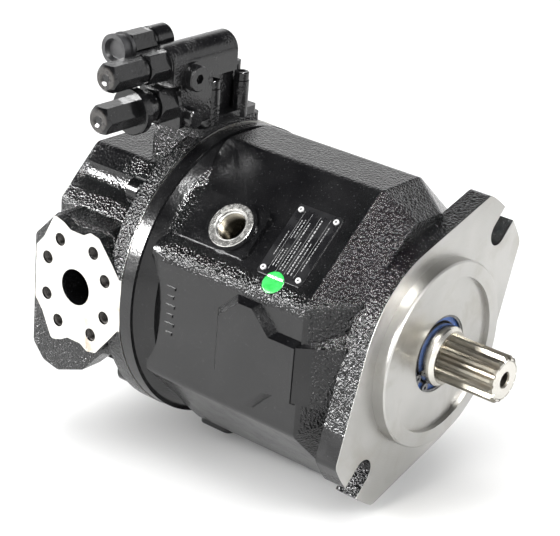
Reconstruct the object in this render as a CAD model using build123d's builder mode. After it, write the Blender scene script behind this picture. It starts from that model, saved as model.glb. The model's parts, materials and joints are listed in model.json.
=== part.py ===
"""Axial piston pump, swash plate type, variable displacement, with a two-stage pressure and flow valve.

Frame: the origin is the centre of the mounting flange's face on the shaft axis. +X leaves the drive end
along the shaft, +Z points up to the control valve, and the pressure port faces -Y. Millimetres.
"""
from build123d import *
import os
from math import atan2, cos, pi, radians, sin, sqrt

# ---- driving dimensions -------------------------------------------------------------------------
FLANGE_THICKNESS = 16.0        # the mounting flange, behind its face at x = 0
PILOT_RADIUS = 62.5            # 125 mm spigot
PILOT_HEIGHT = 9.0
BOLT_CIRCLE = 180.0            # two open slots
SLOT_WIDTH = 18.0
FLANGE_TIP_RADIUS = 105.0
FLANGE_BELLY_RADIUS = 75.5
FLANGE_TIP_HALF = 31.0         # half width of a flange tip

SIDE = 89.0                    # the casing's flat sides are this far from the shaft
TOP = 102.0                    # its top and bottom flats
NOSE_REAR = -37.0              # where the casing starts to narrow towards the flange
BODY_REAR = -156.5             # where the cast body meets the rear rim
JOINT = -175.0                 # the plane between the casing and the port plate
GASKET = 0.4
RIM_RADIUS = 102.0

PLATE_RADIUS = 102.5
PLATE_FLANGE_REAR = -190.0
PLATE_REAR = -262.0
SCREW_PLACE = 65.0             # cover screws sit at (+-65, +-65)

PORT_X = -216.0                # axis of both working ports
PORT_FACE = 101.0
PRESSURE_BORE = 12.5
SUCTION_BORE = 25.0
DRAIN_X = -115.6
DRAIN_FACE = 95.0              # distance of the drain boss's face from the shaft, at 45 degrees
DRAIN_THREAD = 10.3

SHAFT_END = 55.0
JOURNAL = 20.0
SPLINE_TEETH = 14
SPLINE_OUTER = 15.6
SPLINE_ROOT = 13.3
HUB_TEETH = 12                 # keys between the shaft and the cylinder block

PISTONS = 9
PISTON_RADIUS = 10.0
PISTON_CIRCLE = 38.64
BALL_RADIUS = 6.0
TILT_X = -85.0                 # the swash plate's tilt axis, and the plane of the piston balls
SWASH_FACE = -77.0
CRADLE_RADIUS = 48.0
RETAINER_SPHERE = 23.0
STROKER_Z = 72.0               # the two stroking pistons, above and below the cylinder block
COUNTER_RADIUS = 7.0
CONTROL_RADIUS = 10.0
FIT = 0.05                     # running clearance of sliding and turning pairs

VALVE_FRONT = -176.0
SPOOL_X = -188.0
PRESSURE_Z = 152.5             # axis of the upper spool
FLOW_Z = 126.5                 # axis of the lower spool
VALVE_SEAT = 104.6             # top of the pedestal on the port plate
VALVE_FOOT = 105.4             # underside of the valve, above its gasket
VALVE_SCREWS = [(-179.8, 12), (-179.8, -17), (-216, 12), (-216, -17)]
SCREW_SEAT = 130.0             # height of the valve screws' heads
SPOOL_RADIUS = 5.0
BAR_END = -60.0                # the upper spool housing's end on the adjuster side
FLOW_END = -52.0               # the lower one's
FITTING = (-208.0, 161.0)      # axis of the pilot fitting, (x, z)
FITTING_SEAT = -50.0
TEST_PLUG = (-41.6, 143.4)     # (y, z) on the valve's front face
BLANK_PLUG = (-43.2, 117.2)

os.makedirs("parts", exist_ok=True)


# ---- helpers ------------------------------------------------------------------------------------
def across(x):
    """The plane square to the shaft at x: its local axes are Y and Z."""
    return Plane.YZ.offset(x)


def facing_port(y):
    """The plane square to Y at y, looking out along -Y: its local axes are X and Z."""
    return Plane.XZ.offset(-y)


def turned(profile, places=((0, 0),)):
    """Solids of revolution about lines parallel to X through each (y, z), from (x, radius) corners."""
    with BuildPart() as body:
        for y, z in places:
            start = Plane(origin=(0, y, z), x_dir=(1, 0, 0), z_dir=(0, -1, 0))
            with BuildSketch(start):
                with BuildLine():
                    Polyline(*profile, close=True)
                make_face()
            revolve(axis=Axis((0, y, z), (1, 0, 0)))
    return body.part


def turned_along_y(profile, x, z):
    """A solid of revolution about the line parallel to Y through (x, z), from (y, radius) corners."""
    with BuildPart() as body:
        with BuildSketch(Plane(origin=(x, 0, z), x_dir=(0, 1, 0), z_dir=(1, 0, 0))):
            with BuildLine():
                Polyline(*profile, close=True)
            make_face()
        revolve(axis=Axis((x, 0, z), (0, 1, 0)))
    return body.part


def spring(radius, wire, start, length, turns, direction):
    """A round-wire helical spring whose wire's centre runs from start for this length along direction."""
    with BuildPart() as coil:
        with BuildLine():
            path = Helix(length / turns, length, radius, center=start, direction=direction)
        with BuildSketch(Plane(origin=path @ 0, z_dir=path % 0)):
            Circle(wire)
        sweep(path=path, is_frenet=True)
    return coil.part


def gathered(*groups):
    """One piece that holds the separate solids of several."""
    return Compound(children=[solid for group in groups for solid in group.solids()])


def mirrored_outline(half):
    """Closes an outline given on one side of the Z axis with its mirror image."""
    return half + [(-y, z) for y, z in reversed(half)]


# ---- casing -------------------------------------------------------------------------------------
def flange_outline():
    """Half of the two-bolt flange, in (along, across) from its long axis: tip, corner, belly tangent."""
    tip_along = sqrt(FLANGE_TIP_RADIUS**2 - FLANGE_TIP_HALF**2)
    corner_angle = atan2(FLANGE_TIP_HALF, tip_along)
    tangent_angle = corner_angle + pi / 2 - atan2(
        FLANGE_BELLY_RADIUS, sqrt(FLANGE_TIP_RADIUS**2 - FLANGE_BELLY_RADIUS**2)
    )
    belly = (FLANGE_BELLY_RADIUS * cos(tangent_angle), FLANGE_BELLY_RADIUS * sin(tangent_angle))
    return tip_along, belly


def make_flange():
    tip, belly = flange_outline()
    long_axis = Plane(origin=(0, 0, 0), x_dir=(0, 1, 1), z_dir=(1, 0, 0))
    slot_centre = BOLT_CIRCLE / 2
    with BuildPart() as flange:
        with BuildSketch(long_axis):
            with BuildLine():
                ThreePointArc((tip, -FLANGE_TIP_HALF), (FLANGE_TIP_RADIUS, 0), (tip, FLANGE_TIP_HALF))
                Line((tip, FLANGE_TIP_HALF), belly)
                ThreePointArc(belly, (0, FLANGE_BELLY_RADIUS), (-belly[0], belly[1]))
                Line((-belly[0], belly[1]), (-tip, FLANGE_TIP_HALF))
                ThreePointArc((-tip, FLANGE_TIP_HALF), (-FLANGE_TIP_RADIUS, 0), (-tip, -FLANGE_TIP_HALF))
                Line((-tip, -FLANGE_TIP_HALF), (-belly[0], -belly[1]))
                ThreePointArc((-belly[0], -belly[1]), (0, -FLANGE_BELLY_RADIUS), (belly[0], -belly[1]))
                Line((belly[0], -belly[1]), (tip, -FLANGE_TIP_HALF))
            make_face()
            fillet(vertices().sort_by_distance((0, 0, 0))[-4:], radius=7)
        extrude(amount=-FLANGE_THICKNESS)
        with BuildSketch(long_axis):
            with Locations((slot_centre, 0), (-slot_centre, 0)):
                Circle(SLOT_WIDTH / 2)
            with Locations((slot_centre + 15, 0), (-slot_centre - 15, 0)):
                Rectangle(30, SLOT_WIDTH)
        extrude(amount=-FLANGE_THICKNESS, mode=Mode.SUBTRACT)
    return flange.part


BODY_SECTION = [(20.6, TOP), (SIDE, 43.0), (SIDE, -43.5), (30.0, -TOP)]
NOSE_SECTION = [(14.0, 86.0), (62.0, 46.0), (67.0, -24.0), (24.0, -78.0)]


def make_body():
    """The cast body: a rounded eight-sided prism that narrows to a nose behind the flange."""
    with BuildPart() as body:
        with BuildSketch(across(BODY_REAR - 4)):
            Polygon(*mirrored_outline(BODY_SECTION), align=None)
            fillet(vertices(), radius=9)
        extrude(amount=NOSE_REAR - BODY_REAR + 4)
        with BuildSketch(across(NOSE_REAR)):
            Polygon(*mirrored_outline(BODY_SECTION), align=None)
            fillet(vertices(), radius=9)
        with BuildSketch(across(-FLANGE_THICKNESS + 2)):
            Polygon(*mirrored_outline(NOSE_SECTION), align=None)
            fillet(vertices(), radius=9)
        loft(ruled=True)
    return body.part


PLATEAU_FOOT = [(-104.5, 21), (-89, 36.4), (-69.3, 36.4), (-55.3, 22.6), (-38, 22.5)]
PLATEAU_TOP = [(-98.2, 19.3), (-83.5, 33), (-72.7, 33), (-58.6, 18.5), (-38, 18.5)]
RIB_REAR = [(-80, 23), (-94.5, 18.5), (-94.5, -18.5), (-80, -23)]
RIB_FRONT = [(-55, 38), (-74, 19), (-76, -24), (-55, -36)]


def make_side_relief():
    """The raised plateau on a flat side, and the rib that carries it down to the flange."""
    with BuildPart() as relief:
        for corners, y in ((PLATEAU_FOOT, -SIDE + 1), (PLATEAU_TOP, -SIDE - 5.5)):
            with BuildSketch(facing_port(y)):
                Polygon(*corners, *[(x, -z) for x, z in reversed(corners)], align=None)
        loft(ruled=True)
        for corners, x in ((RIB_REAR, -40), (RIB_FRONT, -FLANGE_THICKNESS + 2)):
            with BuildSketch(across(x)):
                Polygon(*corners, align=None)
        loft(ruled=True)
    return relief.part


def drain_plane(side, distance):
    """A plane at 45 degrees between the side and the top, at this distance from the shaft."""
    return Plane(
        origin=(DRAIN_X, side * distance / sqrt(2), distance / sqrt(2)),
        x_dir=(1, 0, 0),
        z_dir=(0, side, 1),
    )


def make_drain_boss(side):
    """A raised block on a slanted face, with the round drain boss on it."""
    with BuildPart() as boss:
        with BuildSketch(drain_plane(side, DRAIN_FACE - 12)):
            with Locations((-10, 0)):
                RectangleRounded(66, 38, 6)
        extrude(amount=10.5, taper=8)
        with BuildSketch(drain_plane(side, DRAIN_FACE - 5)):
            Circle(17.9)
        extrude(amount=5)
    return boss.part


def make_swash_clearance():
    """The room that the tilting swash plate needs ahead of the main cavity."""
    with BuildPart() as room:
        with BuildSketch(facing_port(66)):
            Polygon((-63, 36), (-63, 70), (-44, 70), (-44, 36), align=None)
        extrude(amount=132)
        with BuildSketch(facing_port(39.5)):
            Polygon((-63, 0), (-63, 37), (-50, 37), align=None)
        extrude(amount=79)
        with BuildSketch(across(-64)):
            Circle(67)
        extrude(amount=24, mode=Mode.INTERSECT)
    return room.part


def make_cradle_seat():
    """Two hollow quarter-round seats in the front wall, one each side of the shaft."""
    with BuildPart() as seat:
        for low in (39.5, -60.5):
            with BuildSketch(facing_port(low + 21)):
                with Locations((TILT_X, 0)):
                    Circle(CRADLE_RADIUS + 2.6)
            extrude(amount=21)
    return seat.part


def make_cast_dashes():
    """A column of raised dashes on the side, a plain foundry mark."""
    with BuildPart() as dashes:
        with BuildSketch(facing_port(-SIDE + 0.4)):
            for i in range(6):
                with Locations((-143, 21 - 6.4 * i)):
                    Rectangle(5 if i % 2 else 7.5, 2)
        extrude(amount=1.2)
    return dashes.part


def make_housing():
    cavity = turned([(JOINT - 1, 0), (JOINT - 1, 76), (-62, 76), (-62, 38.5), (-30, 38.5), (-28, 38),
                     (-5, 38), (-5, 26), (4.1, 26), (4.1, 27), (5.6, 27), (5.6, 26), (PILOT_HEIGHT, 26),
                     (PILOT_HEIGHT, 0)])
    flange = make_flange()
    body = make_body()
    near_relief = make_side_relief()
    far_relief = near_relief.mirror(Plane.XZ)
    bosses = [make_drain_boss(-1), make_drain_boss(1)]
    dashes = make_cast_dashes()
    swash_room = make_swash_clearance()
    cradle_seat = make_cradle_seat()
    with BuildPart() as housing:
        add(flange)
        add(body)
        with BuildSketch(across(JOINT + GASKET / 2)):
            Circle(RIM_RADIUS)
        extrude(amount=9.5)
        with BuildSketch(across(JOINT + GASKET / 2 + 9.5)):
            Circle(RIM_RADIUS - 2.5)
        with BuildSketch(across(BODY_REAR + 3)):
            Circle(92)
        loft(ruled=True)
        add([near_relief, far_relief, dashes, *bosses])
        with BuildSketch(Plane.XY.offset(-TOP - 4)):
            with Locations((-150, 0)):
                RectangleRounded(28, 56, 5)
        extrude(amount=12)
        with BuildSketch(across(-1)):
            Circle(PILOT_RADIUS)
        extrude(amount=PILOT_HEIGHT + 1)
        chamfer(edges().filter_by(GeomType.CIRCLE).sort_by(Axis.X)[-1], length=1)
        with BuildSketch(across(PILOT_HEIGHT)):
            Circle(52)
        extrude(amount=-3, mode=Mode.SUBTRACT)
        add(cavity, mode=Mode.SUBTRACT)
        add(swash_room, mode=Mode.SUBTRACT)
        add(cradle_seat, mode=Mode.SUBTRACT)
        with BuildSketch(across(JOINT)):
            with Locations((0, STROKER_Z - 2)):
                Rectangle(36, 36)
        extrude(amount=-40 - JOINT, mode=Mode.SUBTRACT)
        with BuildSketch(across(JOINT)):
            with Locations((0, -STROKER_Z + 2)):
                Rectangle(36, 36)
        extrude(amount=-60 - JOINT, mode=Mode.SUBTRACT)
        with BuildSketch(across(JOINT)):
            with GridLocations(2 * SCREW_PLACE, 2 * SCREW_PLACE, 2, 2):
                Circle(4.5)
        extrude(amount=12.5, mode=Mode.SUBTRACT)
        for side in (-1, 1):
            with BuildSketch(drain_plane(side, DRAIN_FACE)):
                Circle(DRAIN_THREAD)
            extrude(amount=-26, mode=Mode.SUBTRACT)
    return housing.part


# ---- port plate ---------------------------------------------------------------------------------
ARM_PROFILE = [(-186, 40), (-196, 44), (-241, 44), (-262, 22), (-262, -58), (-252, -69), (-238, -72),
               (-214, -63), (-197, -44), (-186, -42)]
PAD_HALF = [(39.8, 17), (31, 28), (25, 35), (20, 41), (12, 42.5), (6, 39), (-6, 39), (-12, 42.5),
            (-21, 45), (-30, 27), (-37, 19)]
KIDNEY_HALF_WIDTH = 4.5


def kidney_sketch(first, last, radius=PISTON_CIRCLE, half_width=KIDNEY_HALF_WIDTH):
    """A curved slot about the shaft, between two angles in degrees from +Y."""
    with BuildSketch() as kidney:
        with BuildLine() as middle:
            CenterArc((0, 0), radius, first, last - first)
        SlotArc(middle.edges()[0], 2 * half_width)
    return kidney.sketch


def make_port_plate():
    bearing_bore = turned([(JOINT, 0), (JOINT, 31), (-198, 31), (-198, 17), (-204, 17), (-204, 0)])
    with BuildSketch() as kidneys:
        add(kidney_sketch(-64, 64))
        add(kidney_sketch(116, 244))
    with BuildPart() as plate:
        with BuildSketch(across(PLATE_FLANGE_REAR)):
            Circle(PLATE_RADIUS)
        extrude(amount=JOINT - GASKET / 2 - PLATE_FLANGE_REAR)
        chamfer(faces().sort_by(Axis.X)[0].edges(), length=2.5)
        with BuildSketch(across(PLATE_REAR)):
            Polygon(*mirrored_outline([(42, 77), (75, 44), (75, -50), (54, -72)]), align=None)
            fillet(vertices(), radius=6)
        extrude(amount=PLATE_FLANGE_REAR - PLATE_REAR + 2)
        chamfer(faces().sort_by(Axis.X)[0].edges(), length=5)
        with BuildSketch(facing_port(93)):
            Polygon(*ARM_PROFILE, align=None)
            fillet(vertices().filter_by_position(Axis.X, -265, -190), radius=6)
        extrude(amount=186)
        with BuildSketch(across(PLATE_REAR - 1)):
            with GridLocations(2 * SCREW_PLACE, 2 * SCREW_PLACE, 2, 2):
                Circle(12.5)
        extrude(amount=PLATE_FLANGE_REAR - PLATE_REAR + 1, mode=Mode.SUBTRACT)
        with BuildSketch(facing_port(-72)):
            with Locations((PORT_X, 0)):
                Polygon(*PAD_HALF, *[(x, -z) for x, z in reversed(PAD_HALF)], align=None)
                fillet(vertices(), radius=3)
        extrude(amount=PORT_FACE - 72)
        with BuildSketch(facing_port(72)):
            with Locations((PORT_X, 0)):
                RectangleRounded(74, 106, 14)
        extrude(amount=-(PORT_FACE - 72))
        with BuildSketch(facing_port(-PORT_FACE), facing_port(PORT_FACE + 4)):
            with Locations((PORT_X, 0)):
                Rectangle(82, 116)
        extrude(amount=4, mode=Mode.SUBTRACT)
        with BuildSketch(Plane.XY.offset(60)):
            with Locations((-198.5, 1)):
                RectangleRounded(44, 62, 5)
        extrude(amount=VALVE_SEAT - 60)
        add(bearing_bore, mode=Mode.SUBTRACT)
        with BuildSketch(across(JOINT)):
            add(kidneys.sketch)
        extrude(amount=-34, mode=Mode.SUBTRACT)
        with BuildSketch(facing_port(-PORT_FACE)):
            with Locations((PORT_X, 0)):
                Circle(PRESSURE_BORE)
        extrude(amount=-(PORT_FACE - 34), mode=Mode.SUBTRACT)
        with BuildSketch(facing_port(PORT_FACE)):
            with Locations((PORT_X, 0)):
                Circle(SUCTION_BORE)
        extrude(amount=PORT_FACE - 34, mode=Mode.SUBTRACT)
        with BuildSketch(facing_port(-PORT_FACE)):
            with Locations((PORT_X, 0)):
                with GridLocations(52.4, 26.2, 2, 2):
                    Circle(4.5)
                with GridLocations(30.2, 58.7, 2, 2):
                    Circle(4.5)
        extrude(amount=-18, mode=Mode.SUBTRACT)
        with BuildSketch(facing_port(PORT_FACE)):
            with Locations((PORT_X, 0)):
                with GridLocations(42.9, 77.8, 2, 2):
                    Circle(5.3)
        extrude(amount=20, mode=Mode.SUBTRACT)
        with BuildSketch(across(JOINT)):
            with Locations((0, STROKER_Z), (0, -STROKER_Z)):
                Circle(14)
        extrude(amount=-12, mode=Mode.SUBTRACT)
        with BuildSketch(across(JOINT)):
            with GridLocations(2 * SCREW_PLACE, 2 * SCREW_PLACE, 2, 2):
                Circle(5.5)
        extrude(amount=-20, mode=Mode.SUBTRACT)
        with BuildSketch(Plane.XY.offset(VALVE_SEAT)):
            with Locations(*VALVE_SCREWS):
                Circle(2.6)
        extrude(amount=-14, mode=Mode.SUBTRACT)
    return plate.part


def make_gasket():
    """The flat gasket between casing and port plate, with the outline of the cavity cut out."""
    with BuildPart() as gasket:
        with BuildSketch(across(JOINT - GASKET / 2)):
            Circle(RIM_RADIUS - 1)
            Circle(76.5, mode=Mode.SUBTRACT)
            with Locations((0, STROKER_Z - 2), (0, -STROKER_Z + 2)):
                Rectangle(37, 37, mode=Mode.SUBTRACT)
            with GridLocations(2 * SCREW_PLACE, 2 * SCREW_PLACE, 2, 2):
                Circle(5.6, mode=Mode.SUBTRACT)
        extrude(amount=GASKET)
    return gasket.part


def socket_screws(plane, places, shank, length, head, head_height, key):
    """Socket-head cap screws: heads stand on a plane and shanks go the other way."""
    with BuildPart() as screws:
        with BuildSketch(plane):
            with Locations(*places):
                Circle(head)
        extrude(amount=head_height)
        with BuildSketch(plane):
            with Locations(*places):
                Circle(shank)
        extrude(amount=-length)
        with BuildSketch(plane.offset(head_height)):
            with Locations(*places):
                RegularPolygon(key / 2, 6, major_radius=False)
        extrude(amount=-head_height * 0.55, mode=Mode.SUBTRACT)
        rims = edges().filter_by(GeomType.CIRCLE).filter_by(lambda e: abs(e.radius - head) < 0.01)
        chamfer(rims, length=head * 0.12)
    return screws.part


def make_cover_screws():
    places = [(y * SCREW_PLACE, z * SCREW_PLACE) for y in (-1, 1) for z in (-1, 1)]
    rear = Plane(origin=(PLATE_FLANGE_REAR, 0, 0), x_dir=(0, -1, 0), z_dir=(-1, 0, 0))
    return socket_screws(rear, places, shank=4.4, length=26, head=9, head_height=11, key=10)


# ---- bearings, shaft and seal -------------------------------------------------------------------
def tapered_bearing(small_x, big_x, small_r, big_r, small_roller, big_roller, bore, outer, toward):
    """Cup, cone and rollers of a tapered bearing whose rollers' small ends face +X (toward 1) or -X."""
    slope = atan2(big_r - small_r, abs(big_x - small_x))
    gap = 0.06

    def offset_point(x, r, distance):
        return x + toward * sin(slope) * distance, r + cos(slope) * distance

    def line_at(a, b, x):
        return x, a[1] + (b[1] - a[1]) * (x - a[0]) / (b[0] - a[0])

    outer_small = offset_point(small_x, small_r, small_roller + gap)
    outer_big = offset_point(big_x, big_r, big_roller + gap)
    inner_small = offset_point(small_x, small_r, -small_roller - gap)
    inner_big = offset_point(big_x, big_r, -big_roller - gap)
    front = small_x + toward * 2.6
    back = big_x - toward * 2.6
    cup = turned([(front, outer), (back, outer), line_at(outer_small, outer_big, back),
                  line_at(outer_small, outer_big, front)])
    rib = line_at(inner_small, inner_big, big_x - toward * 0.9)
    cone = turned([(front, bore), (back - toward * 1.4, bore), (back - toward * 1.4, rib[1] + 2.2),
                   (rib[0], rib[1] + 2.2), rib, line_at(inner_small, inner_big, front)])
    count = int(2 * pi * small_r / (2 * small_roller + 2.2))
    axis_start = Plane(origin=(small_x, 0, small_r), x_dir=(0, 1, 0),
                       z_dir=(-toward * cos(slope), 0, sin(slope)))
    length = abs(big_x - small_x) / cos(slope)
    with BuildPart() as one:
        with BuildSketch(axis_start):
            Circle(small_roller)
        with BuildSketch(axis_start.offset(length)):
            Circle(big_roller)
        loft()
    ring = [one.part.rotate(Axis.X, 360 * i / count) for i in range(count)]
    return cup, cone, Compound(children=ring)


def make_shaft():
    tooth_angle = 360 / SPLINE_TEETH
    half_tip = 0.95
    half_root = 2.35
    core = turned([(SHAFT_END, 0), (SHAFT_END, SPLINE_ROOT - 1), (SHAFT_END - 1, SPLINE_ROOT),
                   (14, SPLINE_ROOT), (14, 17.5), (12.5, JOURNAL - 0.8), (11.5, JOURNAL), (-26, JOURNAL),
                   (-26, 23), (-33, 23), (-34, 17.5), (-99.5, 17.5), (-100.5, 16.5), (-128, 16.5),
                   (-130, 16), (-176, 16), (-176, 15), (-200, 15), (-201, 14), (-201, 0)])
    tooth_chamfer = turned([(SHAFT_END - 2.2, SPLINE_OUTER + 0.3), (SHAFT_END + 1, SPLINE_ROOT - 0.9),
                            (SHAFT_END + 1, 20), (SHAFT_END - 2.2, 20)])
    centre_chamfer = turned([(SHAFT_END + 1, 0), (SHAFT_END + 1, 6.6), (SHAFT_END - 1.2, 4.7),
                             (SHAFT_END - 1.2, 0)])
    with BuildPart() as shaft:
        add(core)
        with BuildSketch(across(13)):
            for i in range(SPLINE_TEETH):
                with Locations(Location((0, 0), (i + 0.5) * tooth_angle)):
                    Polygon((SPLINE_ROOT - 0.6, -half_root), (SPLINE_OUTER, -half_tip),
                            (SPLINE_OUTER, half_tip), (SPLINE_ROOT - 0.6, half_root), align=None)
        extrude(amount=SHAFT_END - 13)
        with BuildSketch(across(-127)):
            for i in range(HUB_TEETH):
                with Locations(Location((0, 0), i * 360 / HUB_TEETH)):
                    Polygon((15.5, -1.5), (18.3, -1.5), (18.3, 1.5), (15.5, 1.5), align=None)
        extrude(amount=18.6)
        add(tooth_chamfer, mode=Mode.SUBTRACT)
        with BuildSketch(across(SHAFT_END)):
            Circle(4.7)
        extrude(amount=-28, mode=Mode.SUBTRACT)
        add(centre_chamfer, mode=Mode.SUBTRACT)
    return shaft.part


def make_shaft_seal():
    return turned([(-3.4, 26), (3.6, 26), (3.6, 22.6), (3.0, 20.9), (1.6, JOURNAL + FIT),
                   (0.9, JOURNAL + FIT), (0.2, 20.9), (-0.6, 22.0), (1.2, 23.6), (1.2, 24.4), (-3.4, 24.4)])


def make_seal_ring():
    """An open snap ring in the groove ahead of the seal."""
    with BuildPart() as ring:
        with BuildSketch(across(4.2)):
            Circle(26.9)
            Circle(24.4, mode=Mode.SUBTRACT)
            with Locations((-16, -18)):
                Rectangle(9, 9, rotation=45, mode=Mode.SUBTRACT)
            with Locations((-11.4, -20.6), (-20.6, -11.4)):
                Circle(3.1)
            with Locations((-11.4, -20.6), (-20.6, -11.4)):
                Circle(1.1, mode=Mode.SUBTRACT)
        extrude(amount=1.3)
    return ring.part


# ---- rotating group -----------------------------------------------------------------------------
def piston_place(i):
    """Centre (y, z) of piston i, the first one at +Z."""
    angle = pi / 2 + 2 * pi * i / PISTONS
    return PISTON_CIRCLE * cos(angle), PISTON_CIRCLE * sin(angle)


PISTON_PLACES = [piston_place(i) for i in range(PISTONS)]
PIN_PLACES = [(21.5 * cos(radians(a)), 21.5 * sin(radians(a))) for a in (15, 135, 255)]
BLOCK_FRONT = -110.0
BLOCK_REAR = -170.9


def make_block():
    barrel = turned([(BLOCK_REAR, 20), (BLOCK_REAR, 52), (-166, 54), (-111.5, 54), (BLOCK_FRONT, 52.5),
                     (BLOCK_FRONT, 24.5), (-101, 24.5), (-101, 16.6), (-120, 16.6), (-120, 25.5),
                     (-156, 25.5), (-156, 20)])
    with BuildSketch() as kidneys:
        for i in range(PISTONS):
            middle = 90 + 360 * i / PISTONS
            add(kidney_sketch(middle - 9, middle + 9, half_width=4))
    with BuildPart() as block:
        add(barrel)
        with BuildSketch(across(-101)):
            for i in range(HUB_TEETH):
                with Locations(Location((0, 0), i * 360 / HUB_TEETH)):
                    Polygon((15.5, -1.6), (18.45, -1.6), (18.45, 1.6), (15.5, 1.6), align=None)
        extrude(amount=-20, mode=Mode.SUBTRACT)
        with BuildSketch(across(BLOCK_FRONT)):
            with Locations(*PISTON_PLACES):
                Circle(PISTON_RADIUS + FIT)
        extrude(amount=-54, mode=Mode.SUBTRACT)
        with BuildSketch(across(BLOCK_REAR)):
            add(kidneys.sketch)
        extrude(amount=8, mode=Mode.SUBTRACT)
        with BuildSketch(across(-101)):
            with Locations(*PIN_PLACES):
                Circle(1.6)
        extrude(amount=-20, mode=Mode.SUBTRACT)
    return block.part


def make_piston(y, z):
    """A hollow piston with a ball end towards the swash plate."""
    ball = [(TILT_X + BALL_RADIUS * cos(radians(a)), BALL_RADIUS * sin(radians(a)))
            for a in (0, 45, 90, 141)]
    with BuildPart() as piston:
        with BuildSketch(Plane(origin=(0, y, z), x_dir=(1, 0, 0), z_dir=(0, -1, 0))):
            with BuildLine():
                ThreePointArc(ball[0], ball[1], ball[3])
                Polyline(ball[3], (-94, 3.78), (-97, 7.5), (-98, PISTON_RADIUS), (-150, PISTON_RADIUS),
                         (-150, 6.5), (-112, 6.5), (-106, 0), ball[0])
            make_face()
        revolve(axis=Axis((0, y, z), (1, 0, 0)))
    return piston.part


def make_slipper(y, z):
    """A slipper shoe: a flat foot for the swash plate and a socket closed over the piston's ball."""
    socket = BALL_RADIUS + FIT
    mouth = -2.3
    start = (TILT_X + socket, 0)
    side = (TILT_X, socket)
    end = (TILT_X + mouth, sqrt(socket**2 - mouth**2))
    foot = SWASH_FACE - 0.25
    with BuildPart() as slipper:
        with BuildSketch(Plane(origin=(0, y, z), x_dir=(1, 0, 0), z_dir=(0, -1, 0))):
            with BuildLine():
                ThreePointArc(start, (TILT_X + socket * cos(1.0), socket * sin(1.0)), end)
                Polyline(end, (end[0], 8.4), (TILT_X - 1.2, 9.4), (-80, 9.4), (-80, 12.4), (foot, 12.4),
                         (foot, 7.6), (foot - 0.6, 7.6), (foot - 0.6, 0), start)
            make_face()
        revolve(axis=Axis((0, y, z), (1, 0, 0)))
    return slipper.part


def spherical_ring(sphere, rear, front, other_radius):
    """A ring about the shaft between a spherical surface centred on the tilt axis and a cylinder."""
    def at(x):
        return x, sqrt(sphere**2 - (x - TILT_X) ** 2)

    with BuildPart() as ring:
        with BuildSketch(Plane.XZ):
            with BuildLine():
                ThreePointArc(at(rear), at((rear + front) / 2), at(front))
                Polyline(at(front), (front, other_radius), (rear, other_radius), at(rear))
            make_face()
        revolve(axis=Axis.X)
    return ring.part


def make_retainer_plate():
    disc = spherical_ring(RETAINER_SPHERE + FIT, -84.2, -80.3, 53)
    with BuildPart() as plate:
        add(disc)
        with BuildSketch(across(-84.2)):
            with Locations(*PISTON_PLACES):
                Circle(11.8)
        extrude(amount=3.9, mode=Mode.SUBTRACT)
    return plate.part


def make_retainer_ball():
    return spherical_ring(RETAINER_SPHERE, -98.3, -79, 17.6)


def make_preload_pins():
    """Three pins through the block's hub, from the spring's washer to the retainer ball."""
    with BuildPart() as pins:
        with BuildSketch(across(-98.4)):
            with Locations(*PIN_PLACES):
                Circle(1.5)
        extrude(amount=-22)
    return pins.part


def make_spring_washers():
    with BuildPart() as washers:
        for x in (-122.2, -155.8):
            with BuildSketch(across(x)):
                Circle(25.2)
                Circle(19.2, mode=Mode.SUBTRACT)
            extrude(amount=1.8)
    return washers.part


def make_valve_plate():
    """The flat distributor plate: suction kidney towards +Y, three pressure slots towards -Y."""
    with BuildSketch() as slots:
        add(kidney_sketch(-64, 64))
        for middle in (134, 180, 226):
            add(kidney_sketch(middle - 16, middle + 16))
    with BuildPart() as plate:
        with BuildSketch(across(-171)):
            Circle(55)
            Circle(31.3, mode=Mode.SUBTRACT)
            add(slots.sketch, mode=Mode.SUBTRACT)
        extrude(amount=JOINT + 171 - GASKET / 2)
    return plate.part


# ---- swash plate and stroking pistons -----------------------------------------------------------
def make_swash_plate():
    with BuildPart() as swash:
        with BuildSketch(across(SWASH_FACE)):
            Circle(62)
            with Locations((0, STROKER_Z - 2), (0, -STROKER_Z + 2)):
                Rectangle(24, 24)
        extrude(amount=12)
        for low in (40, -59):
            with BuildSketch(facing_port(low + 19)):
                with Locations((TILT_X, 0)):
                    Circle(CRADLE_RADIUS)
                    with Locations((-30, 0)):
                        Rectangle(98, 2 * CRADLE_RADIUS + 2, mode=Mode.SUBTRACT)
            extrude(amount=19)
        with BuildSketch(across(SWASH_FACE)):
            Circle(27)
        extrude(amount=12, mode=Mode.SUBTRACT)
    return swash.part


def make_cradle_shells():
    """Two thin bearing shells between the swash plate's runners and the casing's seats."""
    inner = CRADLE_RADIUS + 0.1
    outer = CRADLE_RADIUS + 2.5
    first = radians(-60)
    last = radians(43)
    middle = (first + last) / 2
    with BuildPart() as shells:
        for low in (40.5, -59.5):
            with BuildSketch(facing_port(low + 19)):
                with BuildLine():
                    points = [(TILT_X + r * cos(a), r * sin(a))
                              for r, a in ((inner, first), (inner, middle), (inner, last),
                                           (outer, last), (outer, middle), (outer, first))]
                    ThreePointArc(points[0], points[1], points[2])
                    Line(points[2], points[3])
                    ThreePointArc(points[3], points[4], points[5])
                    Line(points[5], points[0])
                make_face()
            extrude(amount=19)
    return shells.part


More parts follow.
